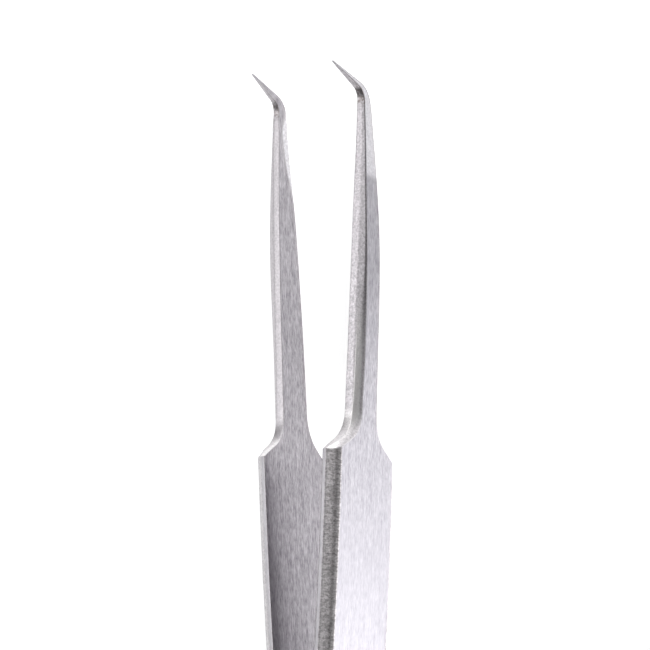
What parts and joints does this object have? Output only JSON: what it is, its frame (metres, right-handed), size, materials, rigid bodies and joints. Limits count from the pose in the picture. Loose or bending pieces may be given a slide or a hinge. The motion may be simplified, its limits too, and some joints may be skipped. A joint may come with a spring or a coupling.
{
  "type": "angled-tip precision tweezers",
  "caption": "Spring-steel tweezers with broad bevelled handles, narrow shanks and fine needle tips bent sideways; the arms are welded at the heel and spring open.",
  "frame": {"origin": "centre of the bounding box in X and Y, at the level of the resting edges in Z", "axes": "+X from the heel to the tips, +Y towards the left arm along the opening direction, +Z towards the side the tips bend to"},
  "size_m": [0.11, 0.0092, 0.0101],
  "materials": {
    "leaf_steel": "brushed lengthwise, edges and points ground",
    "weld_steel": "as fused"
  },
  "bodies": {
    "heel": {"left_tang": "leaf_steel", "right_tang": "leaf_steel", "spot_welds": "weld_steel"},
    "left_arm": {"left_arm": "leaf_steel"},
    "right_arm": {"right_arm": "leaf_steel"}
  },
  "joints": [
    {"name": "left_arm_flex", "type": "hinge", "parent": "heel", "child": "left_arm", "pos_m": [-0.02501, 0.00023, 0.005], "axis": [0, 0, -1], "range_deg": [0, 2.69], "stiffness_Nm_per_rad": 2},
    {"name": "right_arm_flex", "type": "hinge", "parent": "heel", "child": "right_arm", "pos_m": [-0.02501, -0.00023, 0.005], "axis": [0, 0, 1], "range_deg": [0, 2.69], "stiffness_Nm_per_rad": 2}
  ]
}
